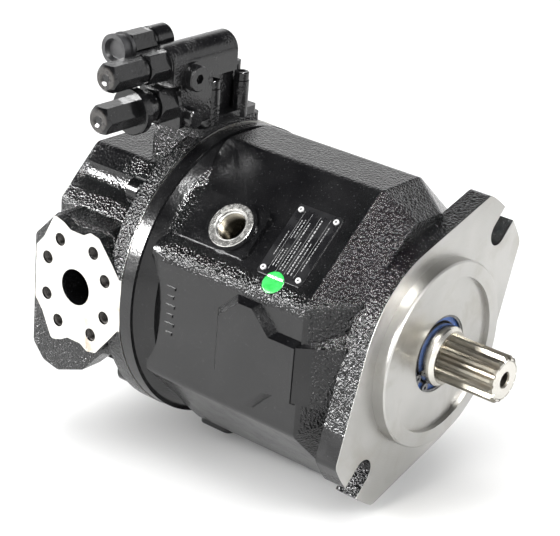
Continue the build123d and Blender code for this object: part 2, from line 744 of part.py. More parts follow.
def make_stroking_piston(z, radius, collar):
    """A piston with a ball end that pushes on an arm of the swash plate, and a collar behind the ball."""
    ball = 7.6
    neck_angle = radians(140)
    neck = (TILT_X + ball * cos(neck_angle), ball * sin(neck_angle))
    with BuildPart() as piston:
        with BuildSketch(Plane(origin=(0, 0, z), x_dir=(1, 0, 0), z_dir=(0, -1, 0))):
            with BuildLine():
                ThreePointArc((TILT_X + ball, 0), (TILT_X, ball), neck)
                Polyline(neck, (-98, neck[1]), (-98, collar), (-101, collar), (-101, radius),
                         (-158, radius), (-158, 0),
                         (TILT_X + ball, 0))
            make_face()
        revolve(axis=Axis((0, 0, z), (1, 0, 0)))
    return piston.part


def make_guide_sleeves():
    """The two cylinders that stand in the port plate and guide the stroking pistons."""
    with BuildPart() as sleeves:
        for z, bore in ((STROKER_Z, COUNTER_RADIUS + FIT), (-STROKER_Z, CONTROL_RADIUS + FIT)):
            with BuildSketch(across(-186.9)):
                with Locations((0, z)):
                    Circle(14)
                    Circle(bore, mode=Mode.SUBTRACT)
            extrude(amount=59)
    return sleeves.part


# ---- plugs and label ----------------------------------------------------------------------------
def make_drain_plug():
    """The plug in the unused drain boss, with a socket for a hex key."""
    with BuildPart() as plug:
        with BuildSketch(drain_plane(1, DRAIN_FACE)):
            Circle(15)
        extrude(amount=5)
        rims = edges().filter_by(GeomType.CIRCLE)
        chamfer(rims.filter_by(lambda e: abs(e.radius - 15) < 0.01), length=0.8)
        with BuildSketch(drain_plane(1, DRAIN_FACE)):
            Circle(DRAIN_THREAD - FIT)
        extrude(amount=-14)
        with BuildSketch(drain_plane(1, DRAIN_FACE + 5)):
            RegularPolygon(5, 6, major_radius=False)
        extrude(amount=-8, mode=Mode.SUBTRACT)
    return plug.part


SLANT_FOOT = Vector(0, -SIDE, 43.0)
SLANT_HEAD = Vector(0, -20.6, TOP)
LABEL_X = -65.5


def label_plane(lift):
    """The slanted face on the pressure side, centred under the nameplate: x along +X, y up the slope."""
    up = (SLANT_HEAD - SLANT_FOOT).normalized()
    normal = Vector(1, 0, 0).cross(up)
    centre = SLANT_FOOT + up * 38
    return Plane(origin=(LABEL_X, centre.Y, centre.Z), x_dir=(1, 0, 0), z_dir=tuple(normal)).offset(lift)


def make_nameplate():
    with BuildPart() as plate:
        with BuildSketch(label_plane(0)):
            RectangleRounded(34, 52, 1.5)
            with GridLocations(27.5, 44.5, 2, 2):
                Circle(1.3, mode=Mode.SUBTRACT)
        extrude(amount=0.8)
    return plate.part


def make_rivets():
    with BuildPart() as rivets:
        with BuildSketch(label_plane(0)):
            with GridLocations(27.5, 44.5, 2, 2):
                Circle(1.25)
        extrude(amount=0.8)
        with BuildSketch(label_plane(0.8)):
            with GridLocations(27.5, 44.5, 2, 2):
                Circle(1.9)
        extrude(amount=0.7)
    return rivets.part


# ---- control valve ------------------------------------------------------------------------------


def make_valve_body():
    with BuildPart() as valve:
        with BuildSketch(facing_port(BAR_END)):
            with BuildLine():
                Polyline((-200, PRESSURE_Z), (-214, PRESSURE_Z), (-214, 140), (VALVE_FRONT, 140),
                         (VALVE_FRONT, PRESSURE_Z))
                ThreePointArc((VALVE_FRONT, PRESSURE_Z), (SPOOL_X, PRESSURE_Z + 12), (-200, PRESSURE_Z))
            make_face()
        extrude(amount=BAR_END - 2)
        with BuildSketch(facing_port(FLOW_END)):
            Polygon((VALVE_FRONT, 109.5), (VALVE_FRONT, 141), (-212, 141), (-212, 109.5), align=None)
            fillet(vertices(), radius=3)
        extrude(amount=FLOW_END + 22)
        with BuildSketch(Plane.XY.offset(VALVE_FOOT)):
            with Locations((-203.5, -3)):
                RectangleRounded(37, 42, 2)
        extrude(amount=36)
        with BuildSketch(Plane.XY.offset(VALVE_FOOT)):
            with Locations((-198.5, 1)):
                RectangleRounded(45, 52, 4)
        extrude(amount=5.5)
        with BuildSketch(Plane.XY.offset(VALVE_FOOT)):
            with Locations(*VALVE_SCREWS):
                Circle(5.4)
        extrude(amount=SCREW_SEAT - VALVE_FOOT)
        with BuildSketch(facing_port(FITTING_SEAT)):
            with Locations(FITTING):
                Circle(9.5)
                with Locations((0, -8)):
                    Rectangle(15, 16)
        extrude(amount=-14)
        with BuildSketch(Plane.XY.offset(SCREW_SEAT)):
            with Locations(*VALVE_SCREWS):
                Circle(5.8)
        extrude(amount=9, mode=Mode.SUBTRACT)
        with BuildSketch(Plane.XY.offset(VALVE_FOOT - 1)):
            with Locations(*VALVE_SCREWS):
                Circle(2.8)
        extrude(amount=40, mode=Mode.SUBTRACT)
        for end, z in ((BAR_END, PRESSURE_Z), (FLOW_END, FLOW_Z)):
            with BuildSketch(facing_port(end)):
                with Locations((SPOOL_X, z)):
                    Circle(SPOOL_RADIUS + FIT)
            extrude(amount=-46, mode=Mode.SUBTRACT)
            with BuildSketch(facing_port(end)):
                with Locations((SPOOL_X, z)):
                    Circle(8)
            extrude(amount=-18, mode=Mode.SUBTRACT)
        with BuildSketch(facing_port(BAR_END)):
            with Locations((-209, 150)):
                Rectangle(18, 26)
        extrude(amount=BAR_END - FITTING_SEAT, mode=Mode.SUBTRACT)
        with BuildSketch(facing_port(FITTING_SEAT)):
            with Locations(FITTING):
                Circle(6)
        extrude(amount=-12, mode=Mode.SUBTRACT)
        with BuildSketch(across(VALVE_FRONT)):
            with Locations(TEST_PLUG, BLANK_PLUG):
                Circle(4.5)
        extrude(amount=-5.5, mode=Mode.SUBTRACT)
    return valve.part


def make_valve_gasket():
    with BuildPart() as gasket:
        with BuildSketch(Plane.XY.offset(VALVE_SEAT)):
            with Locations((-198.5, 1)):
                RectangleRounded(43, 50, 4)
            with Locations(*VALVE_SCREWS):
                Circle(3.4, mode=Mode.SUBTRACT)
        extrude(amount=VALVE_FOOT - VALVE_SEAT)
    return gasket.part


def make_spool(end, z):
    """A spool with two lands, and a collar under its spring towards the adjuster."""
    front = end + 18
    return turned_along_y([(front - 2.4, 0), (front - 2.4, 6.4), (front - 0.4, 6.4), (front - 0.4, 4),
                           (front, 4), (front + 1, SPOOL_RADIUS), (front + 8, SPOOL_RADIUS),
                           (front + 8, 3), (front + 14, 3), (front + 14, SPOOL_RADIUS),
                           (front + 26, SPOOL_RADIUS), (front + 26, 0)], SPOOL_X, z)


def make_spool_spring(end, z, wire):
    """The spring between the seat's flange and the spool's collar."""
    gap = 0.05
    return spring(4.9, wire, (SPOOL_X, end + 1.6 + wire + gap, z), 14 - 2 * wire - 2 * gap, 4, (0, 1, 0))


def make_adjuster(end, z):
    """A slotted adjusting screw with the spring's seat on its inner end."""
    rod = turned_along_y([(end + 4, 0), (end + 4, 3), (end + 1.6, 3), (end + 1.6, 6.6), (end, 6.6),
                          (end, 4), (end - 46, 4), (end - 47, 3), (end - 47, 0)], SPOOL_X, z)
    with BuildPart() as screw:
        add(rod)
        with BuildSketch(facing_port(end - 47)):
            with Locations((SPOOL_X, z)):
                Rectangle(9, 1.2)
        extrude(amount=-2.5, mode=Mode.SUBTRACT)
    return screw.part


def hex_bar(x, z, flats, start, finish):
    """A hexagonal bar along Y from start to finish, a flat pair horizontal."""
    with BuildPart() as bar:
        with BuildSketch(facing_port(start)):
            with Locations((x, z)):
                RegularPolygon(flats / 2, 6, major_radius=False)
        extrude(amount=start - finish)
    return bar.part


def make_pressure_sleeve():
    end = BAR_END - 0.1
    hexagon = hex_bar(SPOOL_X, PRESSURE_Z, 19, end, -77.5)
    bevel = turned_along_y([(end, 0), (end, 14), (-62.5, 14), (-64, 10.8), (-76, 10.8), (-77.5, 9.2),
                            (-77.5, 0)], SPOOL_X, PRESSURE_Z)
    barrel = turned_along_y([(end + 5, 0), (end + 5, 7.9), (end, 7.9), (end, 11.4), (end - 1.2, 11.4),
                             (end - 1.2, 7), (-79, 7), (-79, 8.6), (-81.2, 8.6), (-81.2, 7.4),
                             (-84, 7.4), (-84, 0)], SPOOL_X, PRESSURE_Z)
    bore = turned_along_y([(-50, 0), (-50, 6.8), (end, 6.8), (end, 4.1), (-90, 4.1), (-90, 0)],
                          SPOOL_X, PRESSURE_Z)
    with BuildPart() as sleeve:
        add(hexagon)
        add(bevel, mode=Mode.INTERSECT)
        add(barrel)
        add(bore, mode=Mode.SUBTRACT)
    return sleeve.part


def make_flow_sleeve():
    end = FLOW_END - 0.1
    hexagon = hex_bar(SPOOL_X, FLOW_Z, 22, end - 2, -68)
    bevel = turned_along_y([(end, 0), (end, 14), (-66, 14), (-68, 11), (-68, 0)], SPOOL_X, FLOW_Z)
    barrel = turned_along_y([(end + 5, 0), (end + 5, 7.9), (end, 7.9), (end, 12.8), (end - 2.4, 12.8),
                             (end - 2.4, 9), (-70.5, 9), (-70.5, 10.5), (-79, 13), (-80.5, 13),
                             (-80.5, 7.4), (-90, 7.4), (-90, 0)], SPOOL_X, FLOW_Z)
    bore = turned_along_y([(-42, 0), (-42, 6.8), (end, 6.8), (end, 4.1), (-95, 4.1), (-95, 0)],
                          SPOOL_X, FLOW_Z)
    with BuildPart() as sleeve:
        add(hexagon)
        add(bevel, mode=Mode.INTERSECT)
        add(barrel)
        add(bore, mode=Mode.SUBTRACT)
    return sleeve.part


def make_lock_disc():
    """The round disc clamped between the flow adjuster's sleeve and its cap."""
    return turned_along_y([(-80.6, 7.5), (-80.6, 14.6), (-81.4, 15.4), (-86, 15.4), (-86.8, 14.6),
                           (-86.8, 7.5)], SPOOL_X, FLOW_Z)


def make_cap(z, start, finish, flats):
    """A closed hexagonal cap nut with a turned dimple in its end."""
    radius = flats / 2
    hexagon = hex_bar(SPOOL_X, z, flats, start, finish)
    bevel = turned_along_y([(start, 0), (start, radius + 0.6), (start - 1.2, radius + 2),
                            (finish + 3.5, radius + 2), (finish, radius - 1.6), (finish, 0)], SPOOL_X, z)
    hollow = turned_along_y([(start + 1, 0), (start + 1, 7.5), (start - 4.1, 7.5), (start - 4.1, 4.4),
                             (finish + 3, 4.4), (finish + 3, 0)], SPOOL_X, z)
    dimple = turned_along_y([(finish + 0.8, 0), (finish + 0.8, 2.2), (finish, 4.2), (finish - 1, 4.2),
                             (finish - 1, 0)], SPOOL_X, z)
    with BuildPart() as cap:
        add(hexagon)
        add(bevel, mode=Mode.INTERSECT)
        add(hollow, mode=Mode.SUBTRACT)
        add(dimple, mode=Mode.SUBTRACT)
    return cap.part


def make_test_plug():
    """A screw plug with a hex key socket and a sealing washer."""
    front = VALVE_FRONT
    body = turned([(front - 5, 0), (front - 5, 4.4), (front, 4.4), (front, 10.2), (front + 1.6, 10.2),
                   (front + 1.6, 8.6), (front + 5.2, 8.6), (front + 6, 7.8), (front + 6, 0)], [TEST_PLUG])
    with BuildPart() as plug:
        add(body)
        with BuildSketch(across(front + 6)):
            with Locations(TEST_PLUG):
                RegularPolygon(3, 6, major_radius=False)
        extrude(amount=-4, mode=Mode.SUBTRACT)
    return plug.part


def make_blank_plug():
    front = VALVE_FRONT
    return turned([(front - 5, 0), (front - 5, 4.4), (front, 4.4), (front, 7.2), (front + 1, 7.2),
                   (front + 1, 6.6), (front + 6, 6.6), (front + 7, 5.6), (front + 7, 0)], [BLANK_PLUG])


def make_fitting():
    """The pilot line's screwed fitting, a hexagon with a plain tube seat."""
    x, z = FITTING
    end = FITTING_SEAT - 0.1
    tip = end - 29
    hexagon = hex_bar(x, z, 17, end - 2, tip + 8)
    bevel = turned_along_y([(end, 0), (end, 11), (tip + 9.5, 11), (tip + 8, 8.6), (tip + 8, 0)], x, z)
    barrel = turned_along_y([(end + 11, 0), (end + 11, 5.9), (end, 5.9), (end, 9), (end - 2.2, 9),
                             (end - 2.2, 7), (tip, 7), (tip, 0)], x, z)
    bore = turned_along_y([(end + 12, 0), (end + 12, 3), (tip + 11, 3), (tip + 10, 4.5), (tip - 1, 4.5),
                           (tip - 1, 0)], x, z)
    with BuildPart() as fitting:
        add(hexagon)
        add(bevel, mode=Mode.INTERSECT)
        add(barrel)
        add(bore, mode=Mode.SUBTRACT)
    return fitting.part


def make_dust_cap():
    """The moulded cap pushed over the fitting's end, with two gripping flanges and a hollow front."""
    x, z = FITTING
    tip = FITTING_SEAT - 29.1
    return turned_along_y([(tip + 7.6, 7.1), (tip + 7.6, 9.2), (tip + 6, 9.2), (tip + 6, 10.2),
                           (tip + 4.2, 10.2), (tip + 4.2, 8.6), (tip - 1.4, 8.6), (tip - 1.4, 10.2),
                           (tip - 3.4, 10.2), (tip - 3.4, 7.4), (tip - 0.2, 6.2), (tip - 0.2, 0),
                           (tip + 1.6, 0), (tip + 1.6, 4.3), (tip - 0.1, 4.3), (tip - 0.1, 7.1)], x, z)


# ---- all pieces ---------------------------------------------------------------------------------
front_cup, front_cone, front_rollers = tapered_bearing(-9, -20.6, 26.6, 29.3, 3.4, 4.0, JOURNAL, 38, 1)
rear_cup, rear_cone, rear_rollers = tapered_bearing(-192.6, -181.6, 20.6, 23.0, 2.9, 3.5, 15, 31, -1)

pieces = {
    "pump_housing": make_housing(),
    "port_plate": make_port_plate(),
    "cover_gasket": make_gasket(),
    "cover_screws": make_cover_screws(),
    "drive_shaft": make_shaft(),
    "shaft_seal": make_shaft_seal(),
    "seal_snap_ring": make_seal_ring(),
    "bearing_cups": gathered(front_cup, rear_cup),
    "bearing_cones": gathered(front_cone, rear_cone),
    "bearing_rollers": gathered(front_rollers, rear_rollers),
    "cylinder_block": make_block(),
    "block_spring": spring(22.4, 1.7, (-152.2, 0, 0), 28.2, 4, (1, 0, 0)),
    "preload_parts": gathered(make_spring_washers(), make_preload_pins()),
    "retainer_ball": make_retainer_ball(),
    "retainer_plate": make_retainer_plate(),
    "valve_plate": make_valve_plate(),
    "swash_plate": make_swash_plate(),
    "cradle_shells": make_cradle_shells(),
    "counter_piston": make_stroking_piston(STROKER_Z, COUNTER_RADIUS, 12.5),
    "control_piston": make_stroking_piston(-STROKER_Z, CONTROL_RADIUS, CONTROL_RADIUS + 1),
    "return_spring": spring(10.4, 1.4, (-126.3, 0, STROKER_Z), 22.4, 4, (1, 0, 0)),
    "guide_sleeves": make_guide_sleeves(),
    "drain_plug": make_drain_plug(),
    "nameplate": make_nameplate(),
    "nameplate_rivets": make_rivets(),
    "valve_body": make_valve_body(),
    "valve_gasket": make_valve_gasket(),
    "valve_screws": socket_screws(Plane.XY.offset(SCREW_SEAT), VALVE_SCREWS, shank=2.5, length=37,
                                  head=5, head_height=6, key=5),
    "pressure_spool": make_spool(BAR_END, PRESSURE_Z),
    "flow_spool": make_spool(FLOW_END, FLOW_Z),
    "pressure_spring": make_spool_spring(BAR_END, PRESSURE_Z, 1.1),
    "flow_spring": make_spool_spring(FLOW_END, FLOW_Z, 0.8),
    "pressure_adjuster": make_adjuster(BAR_END, PRESSURE_Z),
    "flow_adjuster": make_adjuster(FLOW_END, FLOW_Z),
    "pressure_sleeve": make_pressure_sleeve(),
    "flow_sleeve": make_flow_sleeve(),
    "flow_lock_disc": make_lock_disc(),
    "pressure_cap": make_cap(PRESSURE_Z, -81.4, -110, 17),
    "flow_cap": make_cap(FLOW_Z, -86.9, -115, 17),
    "valve_plugs": gathered(make_test_plug(), make_blank_plug()),
    "pilot_fitting": make_fitting(),
    "dust_cap": make_dust_cap(),
}
for i, (y, z) in enumerate(PISTON_PLACES, start=1):
    pieces[f"piston_{i}"] = make_piston(y, z)
    pieces[f"slipper_{i}"] = make_slipper(y, z)

for name, piece in pieces.items():
    piece.label = name
    export_step(piece, f"parts/{name}.step")
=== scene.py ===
import json
import math
import random

import bmesh
import bpy
from mathutils import Matrix, Vector
from mathutils.bvhtree import BVHTree


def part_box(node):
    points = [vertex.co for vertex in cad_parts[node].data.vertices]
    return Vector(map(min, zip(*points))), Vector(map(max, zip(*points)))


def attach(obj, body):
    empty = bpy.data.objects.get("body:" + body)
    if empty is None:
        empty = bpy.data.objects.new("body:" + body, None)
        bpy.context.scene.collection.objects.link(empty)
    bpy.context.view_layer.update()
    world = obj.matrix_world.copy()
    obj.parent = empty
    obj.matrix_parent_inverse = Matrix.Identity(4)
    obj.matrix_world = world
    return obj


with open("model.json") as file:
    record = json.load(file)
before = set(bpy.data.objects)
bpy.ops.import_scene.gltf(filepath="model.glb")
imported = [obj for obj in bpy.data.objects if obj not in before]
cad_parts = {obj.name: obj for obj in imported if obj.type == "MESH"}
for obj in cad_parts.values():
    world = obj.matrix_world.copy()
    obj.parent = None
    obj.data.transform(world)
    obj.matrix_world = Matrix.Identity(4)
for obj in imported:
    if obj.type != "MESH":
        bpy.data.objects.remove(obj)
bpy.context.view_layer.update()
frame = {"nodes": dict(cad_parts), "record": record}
NODES = frame["nodes"]

MM = 0.001
SHAFT_LINE = ((0, 0, 0), (1, 0, 0))           # a point on the shaft's axis, and its direction
DRAIN_AXIS = Vector((0, -1, 1)).normalized()
DRAIN_FOOT = Vector((-115.6, 0, 0)) * MM      # where the drain's axis meets the shaft's plane
DRAIN_FACE = 95 * MM
DRAIN_RING = 15.4 * MM                        # outer radius of the seat machined round the drain
DRAIN_THREAD = 10.3 * MM                      # radius of the drain's threaded wall
PORT_X = -216 * MM
PORT_FACE = 101 * MM
# the pressure pad's eight holes, in millimetres from the port's middle
PAD_HOLES = [(side * across, end * up) for across, up in ((26.2, 13.1), (15.1, 29.35))
             for side in (-1, 1) for end in (-1, 1)]
UP = Vector((-0.097, 0, 0.995)).normalized()  # the pump leans nose down on the floor


# ---- camera -------------------------------------------------------------------------------------
CAMERA_PLACE = Vector((0.54463, -0.88082, 0.49897))
CAMERA_RIGHT = Vector((0.7710, 0.6324, 0.0748))
CAMERA_BACK = Vector((0.5576, -0.7272, 0.4003))
CAMERA_SENSOR = 36
CAMERA_LENS = 116.35
CAMERA_SHIFT = (0.01105, -0.00263)
CAMERA_CLIP = (0.01, 50)


def make_camera():
    back = CAMERA_BACK.normalized()
    up = back.cross(CAMERA_RIGHT).normalized()
    right = up.cross(back)
    place = Matrix((right, up, back)).transposed().to_4x4()
    place.translation = CAMERA_PLACE
    data = bpy.data.cameras.new("camera")
    data.sensor_width = CAMERA_SENSOR
    data.lens = CAMERA_LENS
    data.shift_x, data.shift_y = CAMERA_SHIFT
    data.clip_start, data.clip_end = CAMERA_CLIP
    camera = bpy.data.objects.new("camera", data)
    camera.matrix_world = place
    bpy.context.scene.collection.objects.link(camera)
    bpy.context.scene.camera = camera


make_camera()


# ---- shader building ----------------------------------------------------------------------------
class Nodes:
    """Adds nodes to one material.

    A value given to an input may be a number, a colour or a socket. Masks run from 0 to 1."""

    def __init__(self, name):
        self.material = bpy.data.materials.new(name)
        self.material.use_nodes = True
        self.tree = self.material.node_tree
        self.tree.nodes.clear()
        coords = self.tree.nodes.new("ShaderNodeTexCoord")
        self.place = coords.outputs["Object"]

    def set(self, socket, value):
        if isinstance(value, bpy.types.NodeSocket):
            self.tree.links.new(value, socket)
        elif socket.type == "RGBA" and len(value) == 3:
            socket.default_value = (*value, 1)
        else:
            socket.default_value = value

    def add(self, kind, inputs=(), **settings):
        node = self.tree.nodes.new(kind)
        for key, value in settings.items():
            setattr(node, key, value)
        for key, value in dict(inputs).items():
            self.set(node.inputs[key], value)
        return node

    def noise(self, scale, detail=3, rough=0.5, stretch=None, distortion=0):
        place = self.stretched(stretch) if stretch else self.place
        inputs = {"Vector": place, "Scale": scale, "Detail": detail, "Roughness": rough,
                  "Distortion": distortion}
        return self.add("ShaderNodeTexNoise", inputs).outputs["Fac"]

    def cells(self, scale, smooth=0.6):
        inputs = {"Vector": self.place, "Scale": scale, "Smoothness": smooth}
        return self.add("ShaderNodeTexVoronoi", inputs, feature="SMOOTH_F1").outputs["Distance"]

    def stretched(self, factors):
        return self.vector("MULTIPLY", self.place, factors).outputs[0]

    def vector(self, operation, a, b=(0, 0, 0)):
        return self.add("ShaderNodeVectorMath", {0: a, 1: b}, operation=operation)

    def math(self, operation, a, b=0.0):
        return self.add("ShaderNodeMath", {0: a, 1: b}, operation=operation).outputs[0]

    def times(self, a, b):
        return self.math("MULTIPLY", a, b)

    def either(self, first, *others):
        """Where any of the masks is set."""
        for other in others:
            first = self.math("MAXIMUM", first, other)
        return first

    def step(self, value, low, high, start=0.0, finish=1.0):
        """Runs from start to finish, smoothly, as value goes from low to high."""
        inputs = {"Value": value, "From Min": low, "From Max": high,
                  "To Min": start, "To Max": finish}
        node = self.add("ShaderNodeMapRange", inputs, interpolation_type="SMOOTHSTEP")
        return node.outputs["Result"]

    def mix(self, fac, a, b):
        node = self.add("ShaderNodeMix", data_type="RGBA")
        for key, value in ((0, fac), (6, a), (7, b)):
            self.set(node.inputs[key], value)
        return node.outputs[2]

    def blend(self, fac, a, b):
        return self.add("ShaderNodeMix", {0: fac, 2: a, 3: b}, data_type="FLOAT").outputs[0]

    def blend_normal(self, fac, a, b):
        return self.add("ShaderNodeMix", {0: fac, 4: a, 5: b}, data_type="VECTOR").outputs[1]

    def dot(self, direction):
        """How far the shaded point lies along a direction, from the row's origin."""
        return self.vector("DOT_PRODUCT", self.place, direction).outputs[1]

    def from_axis(self, point, direction):
        """Distance of the shaded point from a line."""
        offset = self.vector("SUBTRACT", self.place, point)
        cross = self.vector("CROSS_PRODUCT", offset.outputs[0], direction)
        return self.vector("LENGTH", cross.outputs[0]).outputs[1]

    def bump(self, height, distance, strength=1.0, normal=None):
        inputs = {"Height": height, "Distance": distance, "Strength": strength}
        if normal:
            inputs["Normal"] = normal
        return self.add("ShaderNodeBump", inputs).outputs[0]

    def finish(self, **inputs):
        """The surface shader: names are Principled inputs with underscores for spaces."""
        named = {key.replace("_", " "): value for key, value in inputs.items()}
        shader = self.add("ShaderNodeBsdfPrincipled", named)
        self.add("ShaderNodeOutputMaterial", {"Surface": shader.outputs[0]})
        return self.material


# ---- materials ----------------------------------------------------------------------------------
BLACK = (0.0035, 0.0035, 0.0040)
BLACK_WORN = (0.0085, 0.0085, 0.0090)
DUST = (0.30, 0.30, 0.30)
PAINT_SPECULAR = 0.46
SKIN_DEPTH = 0.95 * MM                        # height of the casting's lumps
SKIN_ROUGHNESS = 0.12
SMOOTH_ROUGHNESS = 0.19


def leather(n):
    """The lumpy skin of a sand casting under thick paint."""
    lumps = n.noise(820, detail=2, rough=0.55, distortion=0.4)
    grains = n.cells(600)
    return n.math("ADD", n.times(lumps, 0.75), n.times(grains, 0.9))


def paint_surface(n, rough_mask, smooth_roughness=SMOOTH_ROUGHNESS):
    """Colour, roughness and normal of black paint.

    It is smooth where the mask is 0 and as leathery as the casting where it is 1."""
    wide = n.noise(28, detail=4, rough=0.6)
    dust = n.step(n.noise(900, detail=1), 0.70, 0.76)
    colour = n.mix(n.step(wide, 0.35, 0.7), BLACK, BLACK_WORN)
    colour = n.mix(n.times(dust, 0.12), colour, DUST)
    uneven = n.step(n.noise(60, detail=5, rough=0.7), 0.3, 0.75, -0.04, 0.07)
    roughness = n.math("ADD", n.blend(rough_mask, smooth_roughness, SKIN_ROUGHNESS), uneven)
    peel = n.bump(n.noise(240, detail=2), 0.12 * MM, 0.6)
    fine = n.bump(n.noise(1500, detail=2), 0.03 * MM, 0.5, peel)
    strength = n.blend(rough_mask, 0.06, 1.0)
    return colour, roughness, n.bump(leather(n), SKIN_DEPTH, strength, fine)


def part_machined(n, bare, paint, cut):
    """Paint, and cut metal where bare is set. Each is a colour, a roughness and a normal."""
    return n.finish(
        Base_Color=n.mix(bare, paint[0], cut[0]),
        Metallic=bare,
        Roughness=n.blend(bare, paint[1], cut[1]),
        Normal=n.blend_normal(bare, paint[2], cut[2]),
        Specular_IOR_Level=PAINT_SPECULAR,
    )


# the housing's zones, in metres along the row's axes
NOSE_BACK = -0.040
RIM_FRONT = -0.157
RIDGE_Z = 0.041
TOP_Z = 0.094
SIDE_Y = 0.086
PLATEAU_TOP = 0.040
BORE_RADIUS = 0.0622
BORE_BOTTOM = -0.031
DRAIN_HOLE_RADIUS = 0.0105
DRAIN_HOLE_BOTTOM = 0.060
HAIR = 0.1 * MM                               # half the width of the line between paint and metal


def housing_material():
    n = Nodes("housing_paint")
    x = n.dot((1, 0, 0))
    y = n.dot((0, 1, 0))
    z = n.dot((0, 0, 1))
    radius = n.from_axis(*SHAFT_LINE)
    nose = n.step(x, NOSE_BACK, NOSE_BACK + 0.006)
    off_ridge = n.math("ABSOLUTE", n.math("SUBTRACT", z, RIDGE_Z))
    ridge = n.times(n.step(off_ridge, 0.004, 0.011, 1, 0),
                    n.step(x, RIM_FRONT, RIM_FRONT + 0.007))
    neck = n.times(n.step(x, RIM_FRONT - 0.003, RIM_FRONT),
                   n.step(x, RIM_FRONT + 0.007, RIM_FRONT + 0.011, 0.35, 0))
    top = n.step(z, TOP_Z, TOP_Z + 0.005, 0, 0.32)
    side = n.step(n.math("ABSOLUTE", y), SIDE_Y - 0.0005, SIDE_Y + 0.002)
    flat_side = n.times(side, n.step(z, PLATEAU_TOP - 0.006, PLATEAU_TOP, 1, 0))
    rough = n.times(n.either(nose, ridge, neck, top), n.math("SUBTRACT", 1.0, flat_side))
    paint = paint_surface(n, rough)
    # machined faces: the flange's front and bore, and the drain's ring and hole
    front = n.step(x, -0.22 * MM, -0.08 * MM)
    bore = n.times(n.step(radius, BORE_RADIUS, BORE_RADIUS + 2 * HAIR, 1, 0),
                   n.step(x, BORE_BOTTOM, BORE_BOTTOM + 0.001))
    along = n.dot(tuple(DRAIN_AXIS))
    out = n.from_axis(tuple(DRAIN_FOOT), tuple(DRAIN_AXIS))
    ring = n.times(n.step(along, DRAIN_FACE - 2 * HAIR, DRAIN_FACE - HAIR),
                   n.step(out, DRAIN_RING - HAIR, DRAIN_RING + HAIR, 1, 0))
    hole = n.times(n.step(along, DRAIN_HOLE_BOTTOM, DRAIN_HOLE_BOTTOM + 0.001),
                   n.step(out, DRAIN_HOLE_RADIUS, DRAIN_HOLE_RADIUS + 2 * HAIR, 1, 0))
    bare = n.either(front, bore, ring, hole)
    # turned steel with a few brown stains, and painted shade that darkens the drain's hole towards
    # its bottom
    turning = n.noise(1, detail=3, stretch=(60, 0, 0))
    rings = n.add("ShaderNodeTexNoise", {"W": n.times(radius, 2600), "Scale": 1.0, "Detail": 3},
                  noise_dimensions="1D").outputs["Fac"]
    stains = n.step(n.noise(32, detail=5, rough=0.6, distortion=0.6), 0.46, 0.72)
    clouds = n.step(n.noise(14, detail=3), 0.35, 0.65)
    metal = n.mix(clouds, (0.39, 0.385, 0.37), (0.47, 0.465, 0.45))
    metal = n.mix(n.times(stains, 0.4), metal, (0.31, 0.29, 0.25))
    satin = n.step(n.math("ADD", rings, n.times(turning, 0.2)), 0.2, 0.9, 0.30, 0.44)
    # painted shade: the drain's hole is darkened nearly to black with depth
    painted_drain_shade = n.step(along, DRAIN_FACE - 0.011, DRAIN_FACE - 0.002, 1, 0)
    metal = n.mix(n.times(hole, painted_drain_shade), metal, (0.012, 0.011, 0.009))
    return part_machined(n, bare, paint, (metal, satin, n.bump(rings, 0.02 * MM, 0.6)))


# the port plate's zones
PLATE_RIM = (-0.1935, -0.1755)
PLATE_JOINT = -0.1753
ARM_Y = 0.060
ARM_FRONT = -0.192
REAR_FACE = -0.258


def port_plate_material():
    n = Nodes("port_plate_paint")
    x = n.dot((1, 0, 0))
    off_middle = n.math("ABSOLUTE", n.dot((0, 1, 0)))
    rim = n.times(n.step(x, PLATE_RIM[0], PLATE_RIM[0] + 0.003),
                  n.step(x, PLATE_RIM[1] - 0.001, PLATE_RIM[1], 1, 0))
    arm = n.times(n.step(off_middle, ARM_Y, ARM_Y + 0.014),
                  n.step(x, ARM_FRONT, ARM_FRONT - 0.004, 0, 0.75))
    rear = n.step(x, REAR_FACE + 0.008, REAR_FACE, 0, 0.9)
    patches = n.step(n.noise(22, detail=3), 0.42, 0.60, 0.25, 0.8)
    paint = paint_surface(n, n.either(rim, rear, arm, patches))
    face = n.step(off_middle, PORT_FACE - 2 * HAIR, PORT_FACE - HAIR)
    joint = n.step(x, PLATE_JOINT, PLATE_JOINT + HAIR)
    # milled steel with a little rust
    rust = n.step(n.noise(42, detail=5, rough=0.65, distortion=0.8), 0.56, 0.70)
    clouds = n.step(n.noise(18, detail=3), 0.35, 0.65)
    metal = n.mix(clouds, (0.57, 0.56, 0.53), (0.69, 0.68, 0.65))
    metal = n.mix(n.times(rust, 0.55), metal, (0.42, 0.30, 0.18))
    milled = n.noise(1, detail=3, stretch=(900, 60, 120))
    satin = n.step(milled, 0.3, 0.7, 0.26, 0.40)
    return part_machined(n, n.either(face, joint), paint,
                         (metal, satin, n.bump(milled, 0.01 * MM, 0.5)))


def painted(name, rough_amount=0.15, roughness=0.2, patch_scale=45, bare_ends=None):
    """Thick gloss black paint with rougher patches."""
    n = Nodes(name)
    patches = n.step(n.noise(patch_scale, detail=3), 0.5, 0.62, 0.0, rough_amount)
    colour, rough, normal = paint_surface(n, patches, roughness)
    if bare_ends:
        y = n.dot((0, 1, 0))
        worn = n.times(n.step(y, bare_ends + 0.0009, bare_ends + 0.0002, 0, 1),
                      n.step(n.noise(300, detail=4), 0.3, 0.55))
        colour = n.mix(n.times(worn, 0.6), colour, (0.085, 0.078, 0.072))
    return n.finish(Base_Color=colour, Roughness=rough, Normal=normal,
                    Specular_IOR_Level=PAINT_SPECULAR)


